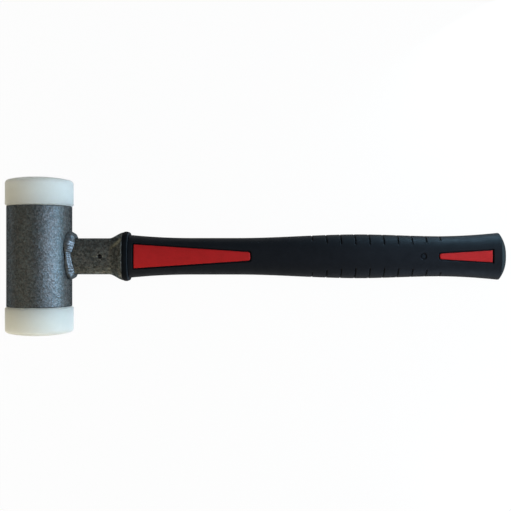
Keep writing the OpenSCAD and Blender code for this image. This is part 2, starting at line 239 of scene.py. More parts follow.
def mesh_object(name, points, faces, sharp_angle=SHARP_ANGLE):
    """A smooth-shaded object from points and faces, with edges sharper than an angle kept crisp."""
    mesh = bpy.data.meshes.new(name)
    mesh.from_pydata([tuple(p) for p in points], [], faces)
    build = bmesh.new()
    build.from_mesh(mesh)
    bmesh.ops.recalc_face_normals(build, faces=build.faces)
    build.to_mesh(mesh)
    build.free()
    mesh.polygons.foreach_set("use_smooth", [True] * len(mesh.polygons))
    mesh.set_sharp_from_angle(angle=math.radians(sharp_angle))
    obj = bpy.data.objects.new(name, mesh)
    bpy.context.scene.collection.objects.link(obj)
    return obj


def skin(name, rows, loop=False, sharp_angle=SHARP_ANGLE):
    """A closed solid over rows of points. Each row is a closed ring of the same number of points.
    With loop, the last row joins the first; otherwise a flat face closes each end."""
    rows = np.asarray(rows)
    count, around = rows.shape[:2]
    faces = []
    for r in range(count if loop else count - 1):
        here = r * around
        there = (r + 1) % count * around
        for c in range(around):
            d = (c + 1) % around
            faces.append((here + c, here + d, there + d, there + c))
    if not loop:
        faces.append(tuple(range(around)))
        faces.append(tuple(range((count - 1) * around, count * around)))
    return mesh_object(name, rows.reshape(-1, 3), faces, sharp_angle)


def rounded(outline):
    """An outline of (radius, height, fillet) corners as plain points, with fillets as arcs."""
    corners = [np.array(c[:2], float) for c in outline]
    points = []
    for i, corner in enumerate(corners):
        fillet = outline[i][2]
        if not fillet:
            points.append(corner)
            continue
        back = corners[i - 1] - corner
        ahead = corners[(i + 1) % len(corners)] - corner
        back /= np.linalg.norm(back)
        ahead /= np.linalg.norm(ahead)
        half = math.acos(np.clip(back @ ahead, -1, 1)) / 2
        middle = (back + ahead) / np.linalg.norm(back + ahead)
        centre = corner + middle * fillet / math.sin(half)
        start = corner + back * fillet / math.tan(half) - centre
        end = corner + ahead * fillet / math.tan(half) - centre
        sweep = math.pi - 2 * half
        for k in range(FILLET_STEPS + 1):
            t = k / FILLET_STEPS
            arm = math.sin((1 - t) * sweep) * start + math.sin(t * sweep) * end
            points.append(centre + arm / math.sin(sweep))
    return points


def lathe(name, outline, axis, around, loop=False):
    """A solid turned about the Y or the Z axis from plain outline points of (radius, height)."""
    a = full_turn(around)
    rows = []
    for r, h in outline:
        first = r * np.cos(a)
        second = r * np.sin(a)
        rows.append(ring(first, h, second) if axis == "Y" else ring(first, second, h))
    return skin(name, rows, loop)


def moved(obj, offset):
    """Moves a new mesh, leaving its object at the origin."""
    obj.data.transform(Matrix.Translation(offset))
    return obj


# Shape functions of the handle

def ease_both(t):
    return t * t * (3 - 2 * t)


def share(x, start, end):
    return np.clip((x - start) / (end - start), 0, 1)


def between(first, last, t):
    return first + (last - first) * t


def body_width(d):
    """Full width of the grip at a distance from its front, up to the start of the dome."""
    to_waist = 1 - (1 - share(d, 0, WAIST_FROM)) ** 2
    to_belly = ease_both(share(d, WAIST_TO, BELLY_AT))
    to_rear_waist = ease_both(share(d, BELLY_AT, REAR_WAIST_AT))
    to_pommel = share(d, REAR_WAIST_AT, POMMEL_X - GRIP_X) ** POMMEL_POWER
    width = FRONT_WIDTH + (WAIST_WIDTH - FRONT_WIDTH) * to_waist
    width = width + (BELLY_WIDTH - WAIST_WIDTH) * to_belly
    width = width + (REAR_WAIST_WIDTH - BELLY_WIDTH) * to_rear_waist
    return width + (2 * POMMEL_W - REAR_WAIST_WIDTH) * to_pommel


def half_w(x):
    return body_width(np.minimum(x, POMMEL_X) - GRIP_X) / 2


def oval(a, w, t, power):
    """Points of an oval at polar angles, from its half width and half thickness."""
    c = np.cos(a)
    s = np.sin(a)
    r = (np.abs(c / w) ** power + np.abs(s / t) ** power) ** (-1 / power)
    return r * c, r * s


def oval_height(y, w, t, power):
    return t * np.maximum(0, 1 - np.abs(y / w) ** power) ** (1 / power)


def oval_normal(y, z, w, t, power):
    """Direction straight out of an oval at its own points."""
    ny = np.sign(y) * np.abs(y / w) ** (power - 1) / w
    nz = np.sign(z) * np.abs(z / t) ** (power - 1) / t
    size = np.maximum(np.hypot(ny, nz), 1e-9)
    return ny / size, nz / size


def core_bore(x, angles):
    """A ring of the bore around the handle core, at polar angles."""
    return ring(x, *oval(angles, CORE_W + CORE_GAP, CORE_T + CORE_GAP, GRIP_POWER))


# Head: the barrel and the two nylon faces

def build_housing():
    outline = [
        (CHAMBER_R, -DISC_Y, 0),
        (SEAT_R, -DISC_Y, 0),
        (SEAT_R, -RIM_Y, RIM_INNER_R),
        (HOUSING_R, -RIM_Y, RIM_OUTER_R),
        (HOUSING_R, RIM_Y, RIM_OUTER_R),
        (SEAT_R, RIM_Y, RIM_INNER_R),
        (SEAT_R, DISC_Y, 0),
        (CHAMBER_R, DISC_Y, 0),
    ]
    return lathe("barrel", rounded(outline), "Y", HEAD_AROUND, loop=True)


def build_face(name, side):
    edge_r = FACE_R - FACE_EDGE_R
    edge_y = FACE_Y - FACE_CROWN
    spigot_r = SEAT_R - SPIGOT_GAP
    body = rounded([
        (0, SPIGOT_Y, 0),
        (spigot_r - SPIGOT_LEAD, SPIGOT_Y, SPIGOT_EDGE_R),
        (spigot_r, SPIGOT_Y + SPIGOT_LEAD, SPIGOT_EDGE_R),
        (spigot_r, RIM_Y, 0),
        (FACE_R - FACE_CHAMFER, RIM_Y, CHAMFER_INNER_R),
        (FACE_R, RIM_Y + FACE_CHAMFER, CHAMFER_OUTER_R),
        (FACE_R, edge_y - FACE_EDGE_R, 0),
    ])[1:-1]
    fillet = [
        (edge_r + FACE_EDGE_R * math.cos(a), edge_y - FACE_EDGE_R * (1 - math.sin(a)))
        for a in quarter_turn(14)
    ]
    crown = [
        (between(edge_r, FACE_FLAT_R, t), FACE_Y - FACE_CROWN * (1 - t) ** 2)
        for t in np.linspace(0, 1, 13)[1:]
    ]
    outline = [(r, side * h) for r, h in [*body, *fillet, *crown]]
    return lathe(name, outline, "Y", HEAD_AROUND)


# Socket: a flattened tube that saddles on the barrel, with a flared mouth

def flare_grow(x):
    """How far the socket has grown at a place, on the way to its mouth."""
    t = share(x, FLARE_FROM, MOUTH_X)
    return FLARE_RISE * ease_both(FLARE_EASE_SHARE * t) / ease_both(FLARE_EASE_SHARE)


def socket_section(a, grow):
    """Outline of the socket at polar angles: flats, shoulders that fall from them, and sides."""
    w = SOCKET_W + grow
    t = SOCKET_T + grow
    flared = max(grow, 0) / FLARE_RISE
    shoulder = between(SHOULDER_AT, SHOULDER_AT_MOUTH, flared)
    fall = between(SHOULDER_FALL, SHOULDER_FALL_MOUTH, flared)
    power = between(SHOULDER_POWER, SHOULDER_POWER_MOUTH, flared)
    fall_y = math.sin(fall)
    fall_z = math.cos(fall)
    c = np.cos(a)
    s = np.sin(a)
    past_shoulder = (fall_y * np.abs(c) + fall_z * np.abs(s)) / (fall_y * shoulder + fall_z * t)
    past = np.stack([np.abs(c) / w, np.abs(s) / t, past_shoulder])
    r = np.sum(past ** power, 0) ** (-1 / power)
    return r * c, r * s


def socket_row(x, grow, angles, saddle=None):
    """One ring of the socket. With saddle, it lies between the barrel (0) and x (1)."""
    y, z = socket_section(angles, grow)
    if saddle is not None:
        sunk_r = HOUSING_R - SADDLE_SINK
        x = (1 - saddle) * np.sqrt(sunk_r ** 2 - z ** 2) + saddle * x
    return ring(x, y, z)


def build_socket():
    angles = full_turn(SOCKET_AROUND)
    rows = [socket_row(FLARE_FROM, 0, angles, t) for t in np.linspace(0, 1, 10)]
    for x in np.linspace(FLARE_FROM, MOUTH_X - MOUTH_LIP_R, 26)[1:]:
        rows.append(socket_row(x, flare_grow(x), angles))
    for a in quarter_turn(6)[1:]:
        x = MOUTH_X - MOUTH_LIP_R * (1 - math.sin(a))
        grow = flare_grow(MOUTH_X) - MOUTH_LIP_R * (1 - math.cos(a))
        rows.append(socket_row(x, grow, angles))
    for x in np.linspace(MOUTH_X, FLARE_FROM, 12):
        rows.append(socket_row(x, flare_grow(x) - SOCKET_WALL, angles))
    rows.append(socket_row(FLARE_FROM, -SOCKET_WALL, angles, 0))
    socket = skin("socket", rows, loop=True)
    cut_hole(socket, SOCKET_PIN_X, PIN_HOLE_R)
    return socket


def cut_hole(obj, x, r):
    """Cuts a round hole along Z right through the socket, with its edges pressed in a little."""
    reach = 2 * SOCKET_W
    dent_r = r + DENT_REACH
    half = [(r, 0), (r, SOCKET_T - DENT_DEPTH), (dent_r, SOCKET_T + DENT_RISE), (dent_r, reach)]
    outline = [(w, -z) for w, z in reversed(half)] + half[1:]
    cutter = moved(lathe("hole_cutter", outline, "Z", HOLE_AROUND), (x, 0, 0))
    cut = obj.modifiers.new("hole", "BOOLEAN")
    cut.operation = "DIFFERENCE"
    cut.object = cutter
    cut.solver = "EXACT"
    bpy.context.view_layer.objects.active = obj
    bpy.ops.object.modifier_apply(modifier=cut.name)
    bpy.data.objects.remove(cutter)
    obj.data.set_sharp_from_angle(angle=math.radians(SHARP_ANGLE))


# Weld: a lumpy fillet in the corner between the barrel and the socket

# How far it reaches out on the barrel and ahead on the socket, at distances up the barrel
WELD_AT = np.array([-13.5, -12, -8.4, -2.8, 1.6, 3.6, 7, 10, 13.5]) * MM
WELD_OUT = np.array([3.6, 3.2, 2.4, 2.2, 2.2, 2.8, 3.8, 4.4, 4.8]) * MM
WELD_AHEAD = np.array([3.9, 4.7, 4.6, 3.8, 2.9, 4.2, 5.2, 5.4, 4.5]) * MM
# The oval that its directions follow, how far it swells on the socket's sides and flats, how far
# its edges turn in, in degrees, and how deep its root is
WELD_OVAL_POWER = 3.5
WELD_SWELL_SIDE = 0.7 * MM
WELD_SWELL_FLAT = 0.4 * MM
WELD_SWELL_POWER = 1.5
WELD_TUCK = 35
WELD_ROOT = 0.8 * MM
# How far it stands up at its edges, and the height and place of a crest along it
WELD_LIFT_AT = np.array([-13, -8, 2, 8]) * MM
WELD_LIFT = np.array([0.03, 0.25, 0.25, 0.03]) * MM
CREST_AT = np.array([-13.4, -12, -10.5, -8, -4, 0, 4, 6.5, 8.5, 11.5, 13.3]) * MM
CREST_H = np.array([0.2, 0.1, 0.25, 0.5, 0.7, 0.75, 0.6, 0.35, 0.15, 0, 0.1]) * MM
CREST_PLACE = np.array([0.5, 0.2, 0.22, 0.34, 0.28, 0.2, 0.16, 0.2, 0.25, 0.25, 0.3])
CREST_WIDTH = 0.22
CREST_END_POWER = 0.3
RIPPLE_PITCH = 1.7 * MM
RIPPLE_H = 0.06 * MM
# Length and height of its coarse and its fine roughness
WELD_ROUGHNESS = ((3 * MM, 0.12 * MM), (1.3 * MM, 0.05 * MM))
# How much of a lump's height goes out of the corner, and how much straight to the near or far side
LUMP_OUT = 0.3
LUMP_UP = 1.0
# Lumps and dents: distance up the barrel, place from barrel (0) to socket (1), radius and height
WELD_LUMPS = (
    (5.8 * MM, 0.42, 2.4 * MM, 1.0 * MM),
    (6.4 * MM, 0.62, 0.8 * MM, -0.18 * MM),
    (10.2 * MM, 0.42, 2.6 * MM, 0.7 * MM),
    (12.9 * MM, 0.45, 2.4 * MM, 1.1 * MM),
    (-12.6 * MM, 0.45, 2.4 * MM, 1.2 * MM),
    (-9.0 * MM, 0.85, 0.9 * MM, -0.2 * MM),
)


def dot(a, b):
    return np.sum(a * b, -1, keepdims=True)


def weld_corner(a):
    """The weld's toe on the barrel, the way to its toe on the socket, the way out of the corner,
    the swell there and the corner itself, at angles around the socket."""
    y, z = socket_section(a, 0)
    ny, nz = oval_normal(y, z, SOCKET_W, SOCKET_T, WELD_OVAL_POWER)
    out = np.interp(y, WELD_AT, WELD_OUT)
    ahead = np.interp(y, WELD_AT, WELD_AHEAD)
    swell = between(WELD_SWELL_FLAT, WELD_SWELL_SIDE, np.abs(ny) ** WELD_SWELL_POWER)
    turn = np.arcsin(z / HOUSING_R) + out * nz / HOUSING_R
    corner = ring(np.sqrt(HOUSING_R ** 2 - z ** 2), y, z)
    on_barrel = ring(HOUSING_R * np.cos(turn), y + out * ny, HOUSING_R * np.sin(turn))
    on_socket = corner + ahead[..., None] * np.array([1, 0, 0])
    across = on_socket - on_barrel
    rise = (on_barrel + on_socket) / 2 - corner
    rise = rise - across * dot(rise, across) / dot(across, across)
    rise = rise / np.linalg.norm(rise, axis=-1, keepdims=True)
    return on_barrel, across, rise, swell[..., None], corner


def weld_point(a, b):
    """Points of the plain weld, at angles around the socket and angles across the bead."""
    on_barrel, across, rise, swell, corner = weld_corner(a)
    b = np.asarray(b)[..., None]
    place = (1 - np.cos(b)) / 2
    up = corner[..., 1:2]
    past_crest = (place - np.interp(up, CREST_AT, CREST_PLACE)) / CREST_WIDTH
    crest = np.interp(up, CREST_AT, CREST_H) * np.exp(-past_crest ** 2)
    crest = crest * np.clip(np.sin(b), 0, 1) ** CREST_END_POWER
    lift = np.interp(up, WELD_LIFT_AT, WELD_LIFT)
    return on_barrel + across * place + rise * (lift + swell * np.sin(b) + crest)


def weld_lumps(points):
    """Height of the lumps at points of the weld, alike on the near and the far side."""
    height = np.zeros(points.shape[:2])
    for up, place, r, h in WELD_LUMPS:
        a = math.atan2(oval_height(up, SOCKET_W, SOCKET_T, WELD_OVAL_POWER), up)
        b = math.acos(1 - 2 * place)
        for turn in (a, -a):
            away = points - weld_point(np.array(turn), b)
            height += h * np.exp(-dot(away, away)[..., 0] / r ** 2)
    return height


def build_weld():
    a = full_turn(WELD_AROUND)[:, None]
    b = np.radians(np.linspace(-WELD_TUCK, 180 + WELD_TUCK, WELD_ACROSS))[None, :]
    points = weld_point(a, b)
    _, _, rise, _, corner = weld_corner(a)
    step = np.linalg.norm(np.roll(corner, -1, 0) - corner, axis=-1)
    along = (np.cumsum(step) - step[:, 0])[:, None] / np.sum(step)
    turns = round(np.sum(step) / RIPPLE_PITCH)
    lumps = weld_lumps(points)
    height = LUMP_OUT * lumps + RIPPLE_H * np.sin(2 * math.pi * turns * along + 2 * np.cos(b))
    for i, j in np.ndindex(height.shape):
        for length, rough in WELD_ROUGHNESS:
            height[i, j] += noise.noise(Vector(points[i, j]) / length) * rough
    fade = np.sqrt(np.clip(np.sin(b), 0, 1))
    toward_side = np.sign(corner[..., 2:3]) * np.array([0, 0, 1])
    points = points + rise * (fade * height)[..., None]
    points = points + LUMP_UP * toward_side * (fade * lumps)[..., None]
    rows = np.concatenate([points, corner - WELD_ROOT * rise], 1)
    return skin("weld", rows, loop=True, sharp_angle=80)


# Pins

def build_socket_pin():
    """A rolled spring pin: a tube with a slit along it and narrowed ends."""
    half_slit = SOCKET_PIN_SLIT / 2
    end = SOCKET_PIN_Z
    inner_r = SOCKET_PIN_R - SOCKET_PIN_WALL
    inner_from = math.asin(half_slit / inner_r)
    inner = np.linspace(2 * math.pi - inner_from, inner_from, PIN_AROUND)
    rows = []
    for z, shrink in ((-end, PIN_EDGE), (PIN_EDGE - end, 0), (end - PIN_EDGE, 0), (end, PIN_EDGE)):
        outer_r = SOCKET_PIN_R - shrink
        outer_from = math.asin(half_slit / outer_r)
        outer = np.linspace(outer_from, 2 * math.pi - outer_from, PIN_AROUND)
        x = np.concatenate([outer_r * np.cos(outer), inner_r * np.cos(inner)])
        y = np.concatenate([outer_r * np.sin(outer), inner_r * np.sin(inner)])
        rows.append(ring(SOCKET_PIN_X + x, y, z))
    return skin("socket_pin_rolled", rows)


def build_grip_pin():
    end = GRIP_PIN_Z
    half = rounded([
        (GRIP_PIN_R, 0, 0),
        (GRIP_PIN_R, end, GRIP_PIN_EDGE_R),
        (GRIP_PIN_TIP_R, end, 0),
    ])
    outline = [(r, -h) for r, h in reversed(half[1:])] + half[1:]
    return moved(lathe("grip_pin_moulded", outline, "Z", PIN_AROUND), (GRIP_PIN_X, 0, 0))


# Collar: a rubber ring between the socket and the grip, with a nose inside the flare

def build_collar():
    angles = full_turn(SOCKET_AROUND)
    nose_x = MOUTH_X - COLLAR_NOSE
    crest_x = MOUTH_X + COLLAR_FRONT
    rear_x = GRIP_X - COLLAR_REAR_R - COLLAR_SEAM

    def row(x, grow):
        return ring(x, *socket_section(angles, FLARE_RISE + grow))

    rows = [core_bore(nose_x, angles)]
    for x in np.linspace(nose_x, MOUTH_X, 8):
        rows.append(socket_row(x, flare_grow(x) - SOCKET_WALL - COLLAR_NOSE_GAP, angles))
    for t in np.linspace(0, 1, 9):
        grow = COLLAR_RISE * (2 * t - t * t) - COLLAR_DIP * (1 - t) ** 3
        rows.append(row(MOUTH_X + COLLAR_FRONT * t, grow))
    for t in np.linspace(0, 1, 5)[1:-1]:
        rows.append(row(between(crest_x, rear_x, t), COLLAR_RISE - COLLAR_FALL * t * t))
    for a in quarter_turn(8):
        grow = COLLAR_RISE - COLLAR_FALL - COLLAR_REAR_R * (1 - math.cos(a))
        rows.append(row(rear_x + COLLAR_REAR_R * math.sin(a), grow))
    rows.append(core_bore(GRIP_X, angles))
    return skin("collar", rows, loop=True)


# Grip: a structured skin whose columns follow the inlay outlines

# The rounded lip of an inlay's pocket, and how steep the pocket's wall is
LIP_R = 0.45 * MM
LIP_OFFSETS = np.array([1, 0.7, 0.45, 0.25, 0.1, 0]) * LIP_R
WALL = 0.02 * MM
# Half width of the zone of columns at the pin, and the most of the grip's width that a zone takes
PIN_ZONE = 3.2 * MM
ZONE_LIMIT = 0.6
# Distance of the rings along the grip, how far from the dome the even ones end, and the least
# distance; then the first ring inside a pocket's wall and inside its round corners
STATION_STEP = 1 * MM
STATION_END = 1.3 * MM
STATION_LEAST = 0.015 * MM
STATION_IN_POCKET = 0.25 * MM
STATION_IN_CORNER = 0.1 * MM


def wedge_line(x, wedge):
    """Half width of an inlay's outline along its straight sides."""
    t = (x - wedge["wide_x"]) / (wedge["narrow_x"] - wedge["wide_x"])
    return between(wedge["wide"], wedge["narrow"], t)


def wedge_distance(x, y, wedge):
    """Distance out of an inlay's outline, negative inside. The narrow end's corners are round."""
    way = way_along(wedge)
    past_side = np.abs(y) - wedge_line(x, wedge)
    past_narrow = (x - wedge["narrow_x"]) * way
    past_wide = (wedge["wide_x"] - x) * way
    r = INLAY_CORNER_R
    corner = np.hypot(np.maximum(past_side + r, 0), np.maximum(past_narrow + r, 0)) - r
    inside = np.maximum(past_side, past_narrow)
    narrow_part = np.where((past_side > -r) & (past_narrow > -r), corner, inside)
    return np.maximum(narrow_part, past_wide)


def wedge_half(x, wedge):
    """Half width of an inlay's outline, with the round corners at the narrow end."""
    r = INLAY_CORNER_R
    into_corner = np.clip((x - wedge["narrow_x"]) * way_along(wedge) + r, 0, r)
    return wedge_line(x, wedge) - r + np.sqrt(r * r - into_corner ** 2)


def zone_half(x):
    """Half width of the zone of columns on the grip's flat: an inlay's, or a blend between them."""
    front_end = FRONT_POCKET["narrow"] - INLAY_CORNER_R
    rear_end = REAR_POCKET["narrow"] - INLAY_CORNER_R
    to_pin = ease_both(share(x, FRONT_POCKET["narrow_x"], GRIP_PIN_X - PIN_ZONE))
    from_pin = ease_both(share(x, GRIP_PIN_X + PIN_ZONE, REAR_POCKET["narrow_x"]))
    blend = front_end + (PIN_ZONE - front_end) * to_pin + (rear_end - PIN_ZONE) * from_pin
    front = wedge_half(np.maximum(x, FRONT_POCKET["wide_x"]), FRONT_POCKET)
    rear = wedge_half(np.minimum(x, REAR_POCKET["wide_x"]), REAR_POCKET)
    half = np.where(x <= FRONT_POCKET["narrow_x"], front, blend)
    return np.where(x >= REAR_POCKET["narrow_x"], rear, half)


def zone_column(x, w):
    """The zone's half width as a column beside the grip's half widths."""
    return np.minimum(zone_half(x)[:, None], ZONE_LIMIT * w)


def lip_drop(distance):
    """Depth of the rounded lip beside an inlay's pocket, and of the pocket itself."""
    within = np.clip(LIP_R - distance, 0, LIP_R)
    lip = LIP_R - np.sqrt(LIP_R ** 2 - within ** 2)
    return np.where(distance < -WALL / 2, INLAY_DEPTH, lip)


def groove_places():
    return GRIP_X + GROOVE_FIRST + GROOVE_PITCH * np.arange(GROOVE_COUNT)


def groove_depth(x, y, w):
    """Depth of the cross grooves along the two edges of the grip."""
    places = groove_places()
    middle = places.mean()
    depth = np.zeros(np.broadcast(x, y).shape)
    for place in places:
        taper = abs((place - middle) / (places[-1] - middle)) ** GROOVE_TAPER_POWER
        inner = GROOVE_INNER + GROOVE_TAPER * taper
        across = np.clip(np.abs(x - place) / GROOVE_HALF_W, 0, 1)
        fade = ease_both(share(np.abs(y), inner - GROOVE_FADE, inner + GROOVE_FADE))
        depth = depth + GROOVE_DEPTH * (1 - across ** GROOVE_WALL_POWER) ** 2 * fade
    return depth * (1 - GROOVE_EDGE_LOSS * ease_both(share(np.abs(y) / w, GROOVE_EDGE_FROM, 1)))


def pin_drop(x, y):
    """Depth of the round recess at each end of the grip pin."""
    distance = np.hypot(x - GRIP_PIN_X, y) - PIN_RECESS_R
    return PIN_RECESS_DEPTH * ease_both(share(-distance, -PIN_RECESS_EDGE_OUT, PIN_RECESS_EDGE_IN))


def grip_stations():
    """Places along the grip: even steps, closer at the grooves, the pocket ends and the pin."""
    lip = np.concatenate([LIP_OFFSETS, [-WALL, -STATION_IN_POCKET]])
    x = [np.arange(GRIP_X + STATION_STEP, POMMEL_X - STATION_END, STATION_STEP)]
    for wedge in (FRONT_POCKET, REAR_POCKET):
        way = way_along(wedge)
        x.append(wedge["wide_x"] - way * lip)
        x.append(wedge["narrow_x"] + way * lip)
        x.append(wedge["narrow_x"] - way * np.linspace(STATION_IN_CORNER, INLAY_CORNER_R, 14))
    for place in groove_places():
        x.append(place + GROOVE_HALF_W * np.linspace(-1.1, 1.1, 15))
    x.append(GRIP_PIN_X + np.linspace(-1.2, 1.2, 41) * PIN_RECESS_R)
    x = np.unique(np.round(np.concatenate(x), 7))
    keep = np.concatenate([[True], np.diff(x) > STATION_LEAST])
    return x[keep]


def grip_rows(x, inset):
    """Rings of the grip at places x, drawn in by an inset at each, without pockets or grooves."""
    w = (half_w(x) - inset)[:, None]
    t = (half_w(x) * GRIP_FLATNESS - inset)[:, None]
    half = zone_column(x, w)
    floor = np.linspace(-1, 1, 27)[None, :] * (half - WALL)
    lip = half + LIP_OFFSETS[None, :]
    flat_y = np.concatenate([lip, floor[:, ::-1], -lip[:, ::-1]], 1)
    flat_z = oval_height(flat_y, w, t, GRIP_POWER)
    corner = np.arctan2(flat_z[:, -1], -flat_y[:, -1])[:, None]
    turn = np.linspace(1, -1, 58)[None, 1:-1]
    side_y, side_z = oval(corner * turn, w, t, GRIP_POWER)
    y = np.concatenate([flat_y, -side_y, -flat_y, side_y], 1)
    z = np.concatenate([flat_z, side_z, -flat_z, -side_z], 1)
    return w, t, y, z


def build_grip():
    x = grip_stations()
    w, t, y, z = grip_rows(x, np.zeros_like(x))
    ny, nz = oval_normal(y, z, w, t, GRIP_POWER)
    place = x[:, None]
    grooves = groove_depth(place, y, w)
    front = lip_drop(wedge_distance(place, y, FRONT_POCKET))
    rear = lip_drop(wedge_distance(place, y, REAR_POCKET))
    drop = np.maximum(np.maximum(front, rear), pin_drop(place, y))
    on_flat = np.abs(y) < zone_column(x, w) + LIP_R
    y = y - ny * grooves
    z = z - nz * grooves - np.sign(z) * np.where(on_flat, drop, 0)
    rows = [*grip_front(), *ring(place, y, z), *grip_dome()]
    return skin("grip", rows, sharp_angle=50)


def plain_row(x, inset):
    """One plain ring of the grip, as the front and the dome need."""
    at = np.array([np.clip(x, GRIP_X, POMMEL_X)])
    _, _, y, z = grip_rows(at, np.array([inset]))
    return ring(x, y[0], z[0])


def grip_front():
    """The bore of the grip, its front face and the rounding of its front edge."""
    edge_r = GRIP_FRONT_R
    outer = plain_row(GRIP_X, edge_r)
    angles = np.arctan2(outer[:, 2], outer[:, 1])
    rows = [core_bore(x, angles) for x in (CORE_END_X, GRIP_X)]
    for a in quarter_turn(7)[:-1]:
        rows.append(plain_row(GRIP_X + edge_r * (1 - math.cos(a)), edge_r * (1 - math.sin(a))))
    return rows


def grip_dome():
    """The domed end of the grip, with a small round at its edge."""
    edge_r = DOME_EDGE_R
    dome_r = (POMMEL_W ** 2 + DOME_RISE ** 2) / (2 * DOME_RISE)
    tip_r = dome_r - edge_r
    start = math.asin((POMMEL_W - edge_r) / tip_r)
    edge_x = GRIP_END_X - dome_r + tip_r * math.cos(start)
    rows = []
    for a in np.linspace(0, math.pi / 2 - start, 9):
        rows.append(plain_row(edge_x + edge_r * math.sin(a), edge_r * (1 - math.cos(a))))
    outline = rows[-1]
    for scale in np.linspace(1, DOME_TIP_SHARE, 34)[1:]:
        row = outline.copy()
        row[:, 0] = between(outline[0, 0], GRIP_END_X, 1 - scale ** DOME_POWER)
        row[:, 1:] *= scale
        rows.append(row)
    return rows


# Inlays: closed wedges that follow the grip's surface a little below it

# Distances between a round edge or corner and the first rows or columns past it
INLAY_ROW_GAP = 0.4 * MM
INLAY_CORNER_GAP = 0.1 * MM
INLAY_COLUMN_GAP = 0.2 * MM


def build_inlay(name, wedge, side):
    way = way_along(wedge)
    edge = np.array([0, 0.08, 0.2, 0.4, 0.65, 1]) * INLAY_EDGE_R
    start = wedge["wide_x"] + way * INLAY_GAP
    end = wedge["narrow_x"] - way * INLAY_GAP
    straight_from = start + way * (INLAY_EDGE_R + INLAY_ROW_GAP)
    straight_to = end - way * (INLAY_CORNER_R + INLAY_ROW_GAP)
    steps = np.concatenate([
        start + way * edge,
        np.linspace(straight_from, straight_to, 90),
        end - way * np.linspace(INLAY_CORNER_R, INLAY_EDGE_R + INLAY_CORNER_GAP, 9),
        end - way * edge[::-1],
    ])
    x = steps[:, None]
    half = wedge_half(steps + way * INLAY_GAP, wedge)[:, None] - INLAY_GAP
    middle = np.linspace(-1, 1, 23)[None, :] * (half - INLAY_EDGE_R - INLAY_COLUMN_GAP)
    rim = half - edge[None, :]
    y = np.concatenate([-rim, middle, rim[:, ::-1]], 1)
    w = half_w(steps)[:, None]
    surface = oval_height(y, w, w * GRIP_FLATNESS, GRIP_POWER)
    to_edge = INLAY_EDGE_R - np.clip(-wedge_distance(x, y, wedge) - INLAY_GAP, 0, INLAY_EDGE_R)
    rounding = INLAY_EDGE_R - np.sqrt(INLAY_EDGE_R ** 2 - to_edge ** 2)
    upper = ring(x, y, side * (surface - INLAY_RECESS - rounding))
    lower = ring(x, y, side * (surface - INLAY_DEPTH + INLAY_FLOOR_GAP))
    return skin(name, np.concatenate([upper, lower[:, ::-1]], 1))


# Materials

def material(name, **inputs):
    """A new material and its principled shader, with constant inputs set on their own sockets."""
    made = bpy.data.materials.new(name)
    made.use_nodes = True
    shader = made.node_tree.nodes["Principled BSDF"]
    for key, value in inputs.items():
        shader.inputs[key.replace("_", " ")].default_value = value
    return made, shader


def add(made, kind, **settings):
    """A new node. Settings that name an input set its value, others set the node's properties."""
    node = made.node_tree.nodes.new(kind)
    for key, value in settings.items():
        label = key.replace("_", " ")
        if label in node.inputs:
            node.inputs[label].default_value = value
        else:
            setattr(node, key, value)
    return node


def link(made, output, target):
    made.node_tree.links.new(output, target)


def coordinates(made):
    return add(made, "ShaderNodeTexCoord").outputs["Object"]


def texture(made, kind, place, **settings):
    """The outputs of a texture of a kind at a place."""
    node = add(made, "ShaderNodeTex" + kind, **settings)
    link(made, place, node.inputs["Vector"])
    return node.outputs


def split(made, place):
    """The X, Y and Z of a place."""
    axes = add(made, "ShaderNodeSeparateXYZ")
    link(made, place, axes.inputs["Vector"])
    return axes.outputs


def ramp(made, source, stops):
    """A colour ramp from (position, colour) stops."""
    node = add(made, "ShaderNodeValToRGB")
    while len(node.color_ramp.elements) < len(stops):
        node.color_ramp.elements.new(0.5)
    for element, (position, colour) in zip(node.color_ramp.elements, stops):
        element.position = position
        element.color = (*colour, 1)
    link(made, source, node.inputs["Fac"])
    return node.outputs["Color"]


def bump(made, shader, height, distance, strength):
    node = add(made, "ShaderNodeBump", Strength=strength, Distance=distance)
    link(made, height, node.inputs["Height"])
    link(made, node.outputs["Normal"], shader.inputs["Normal"])


def math_node(made, operation, *values):
    """The result of a math node whose inputs are numbers or other nodes' outputs."""
    node = add(made, "ShaderNodeMath", operation=operation)
    for socket, value in zip(node.inputs, values):
        if isinstance(value, (int, float)):
            socket.default_value = value
        else:
            link(made, value, socket)
    return node.outputs[0]


def spread(made, source, start, end):
    """Maps a range of values to another one. Each range is a pair of numbers."""
    node = add(
        made, "ShaderNodeMapRange",
        From_Min=start[0], From_Max=start[1], To_Min=end[0], To_Max=end[1],
    )
    link(made, source, node.inputs["Value"])
    return node.outputs["Result"]


def tinted(made, blend, factor, first, second):
    """Two colours blended by a factor. The factor and the second colour may be plain values."""
    node = add(made, "ShaderNodeMix", data_type="RGBA", blend_type=blend)
    for index, value in ((0, factor), (6, first), (7, second)):
        if isinstance(value, (int, float)):
            node.inputs[index].default_value = value
        elif isinstance(value, tuple):
            node.inputs[index].default_value = (*value, 1)
        else:
            link(made, value, node.inputs[index])
    return node.outputs[2]


def edge_wear_and_shade(made, place, sharpness, scale):
    """How far outer edges are marked in patches, over a range of sharpness: rubbed wear on the
    paint and the moulded pieces, painted shade on the nylon.
    """
    pointiness = add(made, "ShaderNodeNewGeometry").outputs["Pointiness"]
    patches = texture(made, "Noise", place, Scale=scale, Detail=3, Roughness=0.7)["Fac"]
    edge = spread(made, pointiness, sharpness, (0, 1))
    return math_node(made, "MULTIPLY", edge, spread(made, patches, (0.4, 0.65), (0, 1)))


def painted_crevice_shade(made, colour, reach):
    """A colour, darkened in narrow gaps by painted shade read from ambient occlusion."""
    gaps = add(made, "ShaderNodeAmbientOcclusion", Distance=reach, samples=12)
    crevice_shade = ramp(made, gaps.outputs["AO"], [(0.35, (0.2, 0.2, 0.2)), (0.85, (1, 1, 1))])
    return tinted(made, "MULTIPLY", 1.0, colour, crevice_shade)


